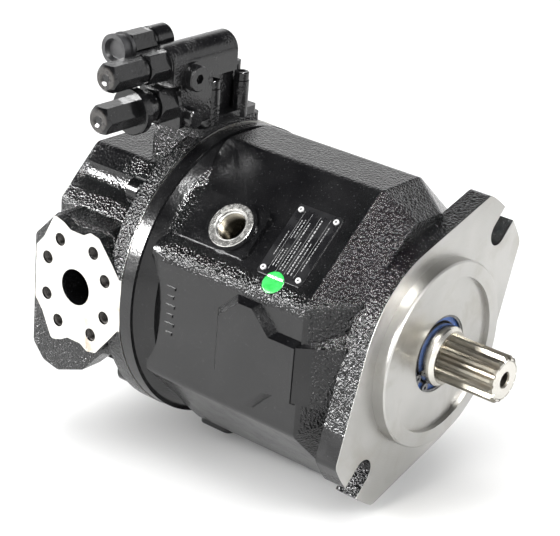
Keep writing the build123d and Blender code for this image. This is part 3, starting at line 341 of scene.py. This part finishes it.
def steel(name, light, dark, roughness=(0.2, 0.35), grain=(30, 700, 700), stain=0.25, bump=0.00001):
    """Bare steel with a directional grain, given as stretch factors along the row's axes."""
    n = Nodes(name)
    lines = n.noise(1, detail=4, rough=0.6, stretch=grain)
    cloud = n.noise(45, detail=4, rough=0.6)
    colour = n.mix(n.step(lines, 0.3, 0.7), dark, light)
    tint = tuple(c * f for c, f in zip(dark, (0.72, 0.64, 0.52)))
    colour = n.mix(n.times(n.step(cloud, 0.5, 0.75), stain), colour, tint)
    uneven = n.math("ADD", n.times(lines, 0.6), n.times(cloud, 0.4))
    return n.finish(Base_Color=colour, Metallic=1.0,
                    Roughness=n.step(uneven, 0.3, 0.7, *roughness),
                    Normal=n.bump(lines, bump, 0.5))


def shaft_material():
    n = Nodes("shaft_steel")
    x = n.dot((1, 0, 0))
    radius = n.from_axis(*SHAFT_LINE)
    lines = n.noise(1, detail=4, rough=0.6, stretch=(120, 900, 900))
    cloud = n.noise(60, detail=4, rough=0.65)
    spline = n.mix(n.step(lines, 0.3, 0.7), (0.17, 0.16, 0.13), (0.26, 0.245, 0.21))
    # painted shade: the spline is darkened towards the roots of its teeth
    painted_root_shade = n.step(radius, 0.0134, 0.0150, 1, 0)
    spline = n.mix(n.times(painted_root_shade, 0.55), spline, (0.16, 0.145, 0.12))
    spline = n.mix(n.times(n.step(cloud, 0.5, 0.7), 0.4), spline, (0.26, 0.22, 0.17))
    bright = n.mix(n.step(cloud, 0.3, 0.7), (0.60, 0.58, 0.53), (0.70, 0.68, 0.63))
    end = n.step(x, 0.0545, 0.0549)
    collar = n.step(x, 0.0136, 0.0142, 1, 0)
    light = n.either(end, collar)
    rough = n.blend(light, n.step(cloud, 0.3, 0.7, 0.30, 0.42), n.step(cloud, 0.3, 0.7, 0.16, 0.26))
    return n.finish(Base_Color=n.mix(light, spline, bright), Metallic=1.0, Roughness=rough,
                    Normal=n.bump(lines, 0.00002, 0.5))


def seal_material():
    n = Nodes("seal_rubber")
    radius = n.from_axis(*SHAFT_LINE)
    cloud = n.noise(180, detail=5, rough=0.65)
    blue = n.mix(n.step(cloud, 0.35, 0.65), (0.022, 0.065, 0.23), (0.055, 0.12, 0.34))
    scuffs = n.times(n.step(n.noise(420, detail=3), 0.6, 0.7), 0.5)
    blue = n.mix(scuffs, blue, (0.3, 0.34, 0.45))
    lip = n.step(radius, 0.0212, 0.0216, 1, 0)
    colour = n.mix(lip, blue, (0.012, 0.012, 0.014))
    return n.finish(Base_Color=colour, Roughness=n.step(cloud, 0.3, 0.7, 0.38, 0.6),
                    Normal=n.bump(cloud, 0.0001, 0.5))


def soft(name, light, dark, scale=200, roughness=(0.4, 0.6), bump=0.00005, gloss=0.5):
    """Rubber, sheet gasket or moulded plastic."""
    n = Nodes(name)
    cloud = n.noise(scale, detail=5, rough=0.6)
    grain = n.noise(scale * 9, detail=2)
    colour = n.mix(n.step(cloud, 0.35, 0.65), dark, light)
    return n.finish(Base_Color=colour, Roughness=n.step(cloud, 0.3, 0.7, *roughness),
                    Normal=n.bump(grain, bump, 0.5), Specular_IOR_Level=gloss)


def iron(name, light, dark):
    n = Nodes(name)
    cloud = n.noise(70, detail=6, rough=0.7)
    pits = n.step(n.cells(900), 0.0, 0.25)
    colour = n.mix(n.step(cloud, 0.3, 0.7), dark, light)
    return n.finish(Base_Color=colour, Metallic=0.85, Roughness=n.step(cloud, 0.3, 0.7, 0.34, 0.5),
                    Normal=n.bump(pits, 0.00004, 0.5))


def assign(material, *names):
    for name in names:
        mesh = NODES[name].data
        mesh.materials.clear()
        mesh.materials.append(material)


def slot_nodes(slot):
    return [s["node"] for s in frame["record"]["subparts"] if s["material_slot"] == slot]


assign(housing_material(), "pump_housing")
assign(port_plate_material(), "port_plate")
assign(painted("valve_paint", 0.45, 0.16, 60), "valve_body")
assign(painted("hardware_paint", 0.12, 0.15, 80), *slot_nodes("black_hardware"))
assign(painted("pressure_cap_paint", 0.1, 0.14, 80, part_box("pressure_cap")[0].y), "pressure_cap")
assign(painted("flow_cap_paint", 0.1, 0.14, 80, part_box("flow_cap")[0].y), "flow_cap")
assign(soft("nameplate_print", (0.010, 0.010, 0.011), (0.006, 0.006, 0.007), 90, (0.22, 0.34),
            0.00001), "nameplate")
assign(shaft_material(), "drive_shaft")
assign(steel("bearing_steel", (0.66, 0.66, 0.66), (0.52, 0.52, 0.53), (0.12, 0.24), (500, 60, 60)),
       *slot_nodes("bearing_steel"))
assign(steel("ring_steel", (0.20, 0.20, 0.20), (0.10, 0.10, 0.10), (0.3, 0.45), (300, 300, 300)),
       "seal_snap_ring")
assign(steel("spring_wire", (0.30, 0.30, 0.31), (0.16, 0.16, 0.17), (0.3, 0.45), (200, 200, 200)),
       *slot_nodes("spring_steel"))
assign(steel("ground_steel", (0.70, 0.70, 0.70), (0.58, 0.58, 0.59), (0.14, 0.26),
             (80, 700, 700), 0.12), *slot_nodes("ground_steel"))
assign(steel("bronze", (0.66, 0.47, 0.22), (0.50, 0.34, 0.15), (0.25, 0.4), (500, 200, 200)),
       *slot_nodes("bronze"))
assign(iron("grey_iron", (0.36, 0.36, 0.35), (0.24, 0.24, 0.24)), *slot_nodes("grey_iron"))
assign(seal_material(), "shaft_seal")
assign(soft("gasket_sheet", (0.020, 0.020, 0.021), (0.010, 0.010, 0.011), 120),
       *slot_nodes("gasket"))
assign(soft("dust_cap_plastic", (0.040, 0.040, 0.042), (0.024, 0.024, 0.026), 150, (0.3, 0.42)),
       "dust_cap")


# ---- added pieces -------------------------------------------------------------------------------
def add_mesh(name, mesh, material, body="casing", smooth=False):
    bmesh.ops.recalc_face_normals(mesh, faces=mesh.faces)
    data = bpy.data.meshes.new(name)
    mesh.to_mesh(data)
    mesh.free()
    for face in data.polygons:
        face.use_smooth = smooth
    data.materials.append(material)
    piece = bpy.data.objects.new(name, data)
    bpy.context.scene.collection.objects.link(piece)
    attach(piece, body)
    return piece


def axes_for(axis):
    """Two directions square to axis, the first as near as can be to the shaft's."""
    hint = Vector((1, 0, 0))
    first = (hint - axis * hint.dot(axis)).normalized()
    return first, axis.cross(first).normalized()


def thread_mesh(mesh, mouth, axis, radius, pitch, depth, length, steps):
    """A helical V ridge on a hole's wall, from just inside its mouth inwards."""
    u, v = axes_for(axis)
    turns = length / pitch
    profile = [(-0.5, 0.0), (0.0, 1.0), (0.5, 0.0)]
    previous = None
    for i in range(int(turns * steps) + 1):
        angle = 2 * math.pi * i / steps
        out = u * math.cos(angle) + v * math.sin(angle)
        inward = (i / steps + 0.8) * pitch
        row = [mesh.verts.new(mouth + out * (radius - h * depth) - axis * (inward + s * pitch))
               for s, h in profile]
        if previous:
            for a, b in ((0, 1), (1, 2), (2, 0)):
                mesh.faces.new((previous[a], previous[b], row[b], row[a]))
        else:
            mesh.faces.new(row)
        previous = row
    mesh.faces.new(list(reversed(previous)))


def lathe_mesh(mesh, origin, axis, profile, steps=72):
    """A closed ring turned about an axis from (along, radius) corners."""
    u, v = axes_for(axis)
    rings = []
    for i in range(steps):
        angle = 2 * math.pi * i / steps
        out = u * math.cos(angle) + v * math.sin(angle)
        rings.append([mesh.verts.new(origin + axis * a + out * r) for a, r in profile])
    for ring, following in zip(rings, rings[1:] + rings[:1]):
        for k in range(len(profile)):
            j = (k + 1) % len(profile)
            mesh.faces.new((ring[k], following[k], following[j], ring[j]))


# colour of the painted shade deep inside the drain
DRAIN_PAINTED_SHADE = (0.008, 0.007, 0.005)
COUNTERSINK = 2.2 * MM
PAD_THREAD = 4.5 * MM
COARSE_PITCH = 1.5 * MM
# the seat's corners: how far out along the drain's axis, and how far from it, in millimetres
SEAT_PROFILE = ((0.05, 11.1), (0.05, 15.4), (0.35, 15.1), (0.35, 11.6), (-1.8, 9.6), (-2.2, 10.28))


def drain_thread_material():
    """Steel at the drain's mouth, with painted shade that darkens it inwards."""
    n = Nodes("thread_steel")
    cloud = n.noise(260, detail=4, rough=0.6)
    lit = n.mix(n.step(cloud, 0.3, 0.7), (0.17, 0.15, 0.12), (0.28, 0.26, 0.21))
    # painted shade, growing deeper into the drain
    painted_drain_shade = n.step(n.dot(tuple(DRAIN_AXIS)), DRAIN_FACE - 0.011, DRAIN_FACE - 0.003, 1, 0)
    return n.finish(Base_Color=n.mix(painted_drain_shade, lit, DRAIN_PAINTED_SHADE), Metallic=1.0,
                    Roughness=n.step(cloud, 0.3, 0.7, 0.24, 0.38),
                    Normal=n.bump(cloud, 0.02 * MM, 0.4))


def make_drain():
    """The near drain's thread, and the chamfered seat round its mouth."""
    mouth = DRAIN_FOOT + DRAIN_AXIS * DRAIN_FACE
    mesh = bmesh.new()
    thread_mesh(mesh, mouth - DRAIN_AXIS * COUNTERSINK, DRAIN_AXIS, DRAIN_THREAD,
                pitch=COARSE_PITCH, depth=0.9 * MM, length=20 * MM, steps=64)
    add_mesh("drain_thread", mesh, drain_thread_material())
    mesh = bmesh.new()
    lathe_mesh(mesh, mouth, DRAIN_AXIS, [(a * MM, r * MM) for a, r in SEAT_PROFILE])
    bright = steel("seat_steel", (0.74, 0.73, 0.70), (0.60, 0.59, 0.56), (0.2, 0.34),
                   (400, 400, 400), 0.3)
    add_mesh("drain_seat", mesh, bright)


def make_pad_threads():
    mesh = bmesh.new()
    for across, up in PAD_HOLES:
        mouth = Vector((PORT_X + across * MM, -PORT_FACE, up * MM))
        thread_mesh(mesh, mouth, Vector((0, -1, 0)), PAD_THREAD,
                    pitch=COARSE_PITCH, depth=0.75 * MM, length=13 * MM, steps=32)
    # the threads' steel is darkened to paint the shade inside the pad's holes
    dark = steel("pad_thread_painted_shade", (0.10, 0.095, 0.09), (0.04, 0.037, 0.035), (0.3, 0.45),
                 (300, 300, 300), 0.4)
    add_mesh("pad_threads", mesh, dark)


make_drain()
make_pad_threads()


# ---- the nameplate's rivets and print, and the round sticker below it ---------------------------
SLOPE_UP = Vector((0, 68.4, 59.0)).normalized()
SLOPE_OUT = Vector((1, 0, 0)).cross(SLOPE_UP)
PLATE_LOW, PLATE_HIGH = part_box("nameplate")
PLATE_HALF_THICKNESS = 0.4 * MM
PLATE_MIDDLE = (PLATE_LOW + PLATE_HIGH) / 2 + SLOPE_OUT * PLATE_HALF_THICKNESS
RIVET_ACROSS = 13.75
RIVET_UP = 22.25
INK_HEIGHT = 0.06
RULE_HALF_WIDTH = 0.06
RULE_END = 22
RULES = (-10.2, -4.4, 2.2, 9.6)               # long thin lines that divide the plate, mm across
# each column of print on the plate: its place across, where it starts and ends, and its height
COLUMNS = (
    (-12.6, -12, 6, 0.5), (-8.6, -19, -6, 0.55), (-8.6, 2, 17, 0.5), (-6.4, -19, -5, 0.5),
    (-6.4, 3, 18, 0.5), (-2.4, -20, 16, 0.65), (-0.2, -20, 2, 0.5), (4.2, -21, 20, 0.9),
    (6.8, -21, 4, 0.5), (11.6, -16, 17, 0.5),
)
STICKER = (-1.6, -29.2)                       # its middle on the plate's plane, mm
STICKER_RADIUS = 7.45
STICKER_THICKNESS = 0.1 * MM
STICKER_LIFT = 0.12 * MM


def on_plate(across, up, lift):
    """A point on the plate's face, in millimetres from its middle."""
    return PLATE_MIDDLE + Vector((across * MM, 0, 0)) + SLOPE_UP * up * MM + SLOPE_OUT * lift * MM


def rivet_material():
    """Pale hollow rivets, each with painted shade in its hollow middle."""
    n = Nodes("rivet_aluminium")
    nearest = 1.0
    for across in (-RIVET_ACROSS, RIVET_ACROSS):
        for up in (-RIVET_UP, RIVET_UP):
            rivet = n.from_axis(tuple(on_plate(across, up, 0)), tuple(SLOPE_OUT))
            nearest = n.math("MINIMUM", rivet, nearest)
    cloud = n.noise(600, detail=3)
    pale = n.mix(n.step(cloud, 0.3, 0.7), (0.66, 0.66, 0.66), (0.80, 0.80, 0.80))
    # painted shade: each rivet's hollow middle is coloured nearly black
    middle = n.step(nearest, 0.00055, 0.00080, 1, 0)
    return n.finish(Base_Color=n.mix(middle, pale, (0.02, 0.02, 0.02)), Metallic=0.25,
                    Roughness=n.step(cloud, 0.3, 0.7, 0.25, 0.4),
                    Normal=n.bump(cloud, 0.00002, 0.4))


assign(rivet_material(), "nameplate_rivets")


def print_bar(mesh, left, right, low, high):
    """A thin raised bar of ink, in millimetres on the plate."""
    corners = [(left, low), (right, low), (right, high), (left, high)]
    bottom = [mesh.verts.new(on_plate(a, b, 0.0)) for a, b in corners]
    top = [mesh.verts.new(on_plate(a, b, INK_HEIGHT)) for a, b in corners]
    mesh.faces.new(top)
    mesh.faces.new(list(reversed(bottom)))
    for k in range(4):
        j = (k + 1) % 4
        mesh.faces.new((bottom[k], bottom[j], top[j], top[k]))


def greeked(mesh, column, start, finish, height, rng):
    """A column of short bars that stands for a line of print, running up the plate."""
    at = start
    while at < finish - 0.8:
        length = rng.uniform(0.7, 2.4)
        print_bar(mesh, column - height / 2, column + height / 2, at, min(at + length, finish))
        at += length + rng.uniform(0.45, 0.9)


def ink_material():
    n = Nodes("silver_ink")
    cloud = n.noise(800, detail=3)
    colour = n.mix(n.step(cloud, 0.3, 0.7), (0.26, 0.26, 0.26), (0.44, 0.44, 0.44))
    return n.finish(Base_Color=colour, Metallic=0.2, Roughness=n.step(cloud, 0.3, 0.7, 0.4, 0.55))


def make_print():
    rng = random.Random(7)
    mesh = bmesh.new()
    for across in RULES:
        print_bar(mesh, across - RULE_HALF_WIDTH, across + RULE_HALF_WIDTH, -RULE_END, RULE_END)
    for across, start, finish, height in COLUMNS:
        greeked(mesh, across, start, finish, height, rng)
    add_mesh("nameplate_print", mesh, ink_material())


make_print()


def sticker_material():
    n = Nodes("sticker_vinyl")
    cloud = n.noise(220, detail=4)
    green = n.mix(n.step(cloud, 0.3, 0.7), (0.010, 0.46, 0.055), (0.020, 0.58, 0.09))
    return n.finish(Base_Color=green, Roughness=n.step(cloud, 0.3, 0.7, 0.28, 0.4),
                    Normal=n.bump(cloud, 0.00004, 0.4), Coat_Weight=0.3, Coat_Roughness=0.2)


def make_sticker():
    """A thin round label laid over the plate's edge and the casing, so it bends with them."""
    rings, spokes = 10, 72
    trees = [BVHTree.FromPolygons([v.co for v in NODES[name].data.vertices],
                                  [f.vertices for f in NODES[name].data.polygons])
             for name in ("pump_housing", "nameplate")]
    mesh = bmesh.new()
    start = on_plate(*STICKER, 12)

    def laid(radius, angle):
        point = start + (Vector((1, 0, 0)) * math.cos(angle) + SLOPE_UP * math.sin(angle)) * radius
        hits = [tree.ray_cast(point, -SLOPE_OUT, 40 * MM) for tree in trees]
        reach = min(hit[3] for hit in hits if hit[0])
        return point - SLOPE_OUT * (reach - STICKER_LIFT)

    middle = mesh.verts.new(laid(0, 0))
    spacing = STICKER_RADIUS * MM / rings
    rows = [[mesh.verts.new(laid(spacing * (r + 1), 2 * math.pi * k / spokes))
             for k in range(spokes)] for r in range(rings)]
    for k in range(spokes):
        mesh.faces.new((middle, rows[0][k], rows[0][(k + 1) % spokes]))
        for inner, outer in zip(rows, rows[1:]):
            mesh.faces.new((inner[k], outer[k], outer[(k + 1) % spokes], inner[(k + 1) % spokes]))
    for _ in range(2):  # eases the bend over the plate's edge
        bmesh.ops.smooth_vert(mesh, verts=[v for row in rows[:-1] for v in row], factor=0.4,
                              use_axis_x=True, use_axis_y=True, use_axis_z=True)
    sticker = add_mesh("round_sticker", mesh, sticker_material(), smooth=True)
    thickness = sticker.modifiers.new("thickness", "SOLIDIFY")
    thickness.thickness = STICKER_THICKNESS
    thickness.offset = 1.0


make_sticker()


# ---- floor, world and lights --------------------------------------------------------------------
FLOOR_HALF = 6.0
FLOOR_GAP = 0.2 * MM
WORLD_STRENGTH = 1.3
HORIZON = (0.38, (1.0, 1.0, 1.0, 1))          # height in the sky's ramp, and colour
ZENITH = (0.62, (0.045, 0.045, 0.048, 1))
LIT_POINT = Vector((-0.1, 0, 0))
# name, direction from the lit point, distance, width, height, watts, what it lights
LIGHTS = (
    ("window", (-0.56, -0.76, 0.34), 2.0, 1.0, 0.42, 130, "glossy"),
    ("overhead", (-0.15, 0.1, 1.0), 2.4, 2.4, 2.4, 56, "diffuse"),
    ("fill_left", (-0.8, -0.8, 0.75), 2.6, 2.2, 1.6, 60, "diffuse"),
    ("fill_right", (0.9, 0.1, 0.65), 2.6, 2.0, 1.4, 45, "diffuse"),
    ("spark", (0.50, -0.20, 0.86), 2.2, 0.26, 0.26, 62, "glossy"),
    ("side_spark", (0.85, -0.50, 0.55), 2.4, 0.35, 0.35, 26, "glossy"),
)


def lowest_along(direction):
    """Where the casing's own pieces reach lowest, measured along direction."""
    names = ("pump_housing", "port_plate")
    return min(direction.dot(v.co) for name in names for v in NODES[name].data.vertices)


def floor_material():
    n = Nodes("floor_paper")
    cloud = n.noise(3, detail=5, rough=0.6)
    fibre = n.noise(260, detail=3)
    colour = n.mix(n.step(cloud, 0.3, 0.7), (0.86, 0.86, 0.855), (0.90, 0.90, 0.895))
    return n.finish(Base_Color=colour, Roughness=0.75, Normal=n.bump(fibre, 0.0002, 0.25),
                    Specular_IOR_Level=0.2)


def make_floor():
    level = lowest_along(UP) - FLOOR_GAP
    first, second = axes_for(UP)
    mesh = bmesh.new()
    corners = [mesh.verts.new(UP * level + (first * a + second * b) * FLOOR_HALF)
               for a, b in ((-1, -1), (1, -1), (1, 1), (-1, 1))]
    mesh.faces.new(corners)
    data = bpy.data.meshes.new("floor")
    mesh.to_mesh(data)
    mesh.free()
    data.materials.append(floor_material())
    floor = bpy.data.objects.new("floor", data)
    bpy.context.scene.collection.objects.link(floor)


make_floor()


def make_world():
    """Bright near the horizon, darker overhead, as in a tent with an open top."""
    world = bpy.data.worlds.new("studio")
    world.use_nodes = True
    tree = world.node_tree
    tree.nodes.clear()
    coords = tree.nodes.new("ShaderNodeTexCoord")
    parts = tree.nodes.new("ShaderNodeSeparateXYZ")
    tree.links.new(coords.outputs["Generated"], parts.inputs[0])
    ramp = tree.nodes.new("ShaderNodeValToRGB")
    ramp.color_ramp.interpolation = "EASE"
    for stop, (height, colour) in zip(ramp.color_ramp.elements, (HORIZON, ZENITH)):
        stop.position = height
        stop.color = colour
    tree.links.new(parts.outputs[2], ramp.inputs[0])
    background = tree.nodes.new("ShaderNodeBackground")
    background.inputs["Strength"].default_value = WORLD_STRENGTH
    tree.links.new(ramp.outputs[0], background.inputs["Color"])
    output = tree.nodes.new("ShaderNodeOutputWorld")
    tree.links.new(background.outputs[0], output.inputs["Surface"])
    bpy.context.scene.world = world


def area_light(name, direction, distance, width, height, power, seen):
    """A softbox that lights only gloss, or only matt surfaces."""
    data = bpy.data.lights.new(name, "AREA")
    data.shape = "RECTANGLE"
    data.size = width
    data.size_y = height
    data.energy = power
    light = bpy.data.objects.new(name, data)
    away = Vector(direction).normalized()
    light.location = LIT_POINT + away * distance
    light.rotation_mode = "QUATERNION"
    light.rotation_quaternion = away.to_track_quat("Z", "Y")
    light.visible_glossy = seen == "glossy"
    light.visible_diffuse = seen == "diffuse"
    bpy.context.scene.collection.objects.link(light)


make_world()
for light in LIGHTS:
    area_light(*light)
bpy.context.scene.view_settings.view_transform = "Standard"
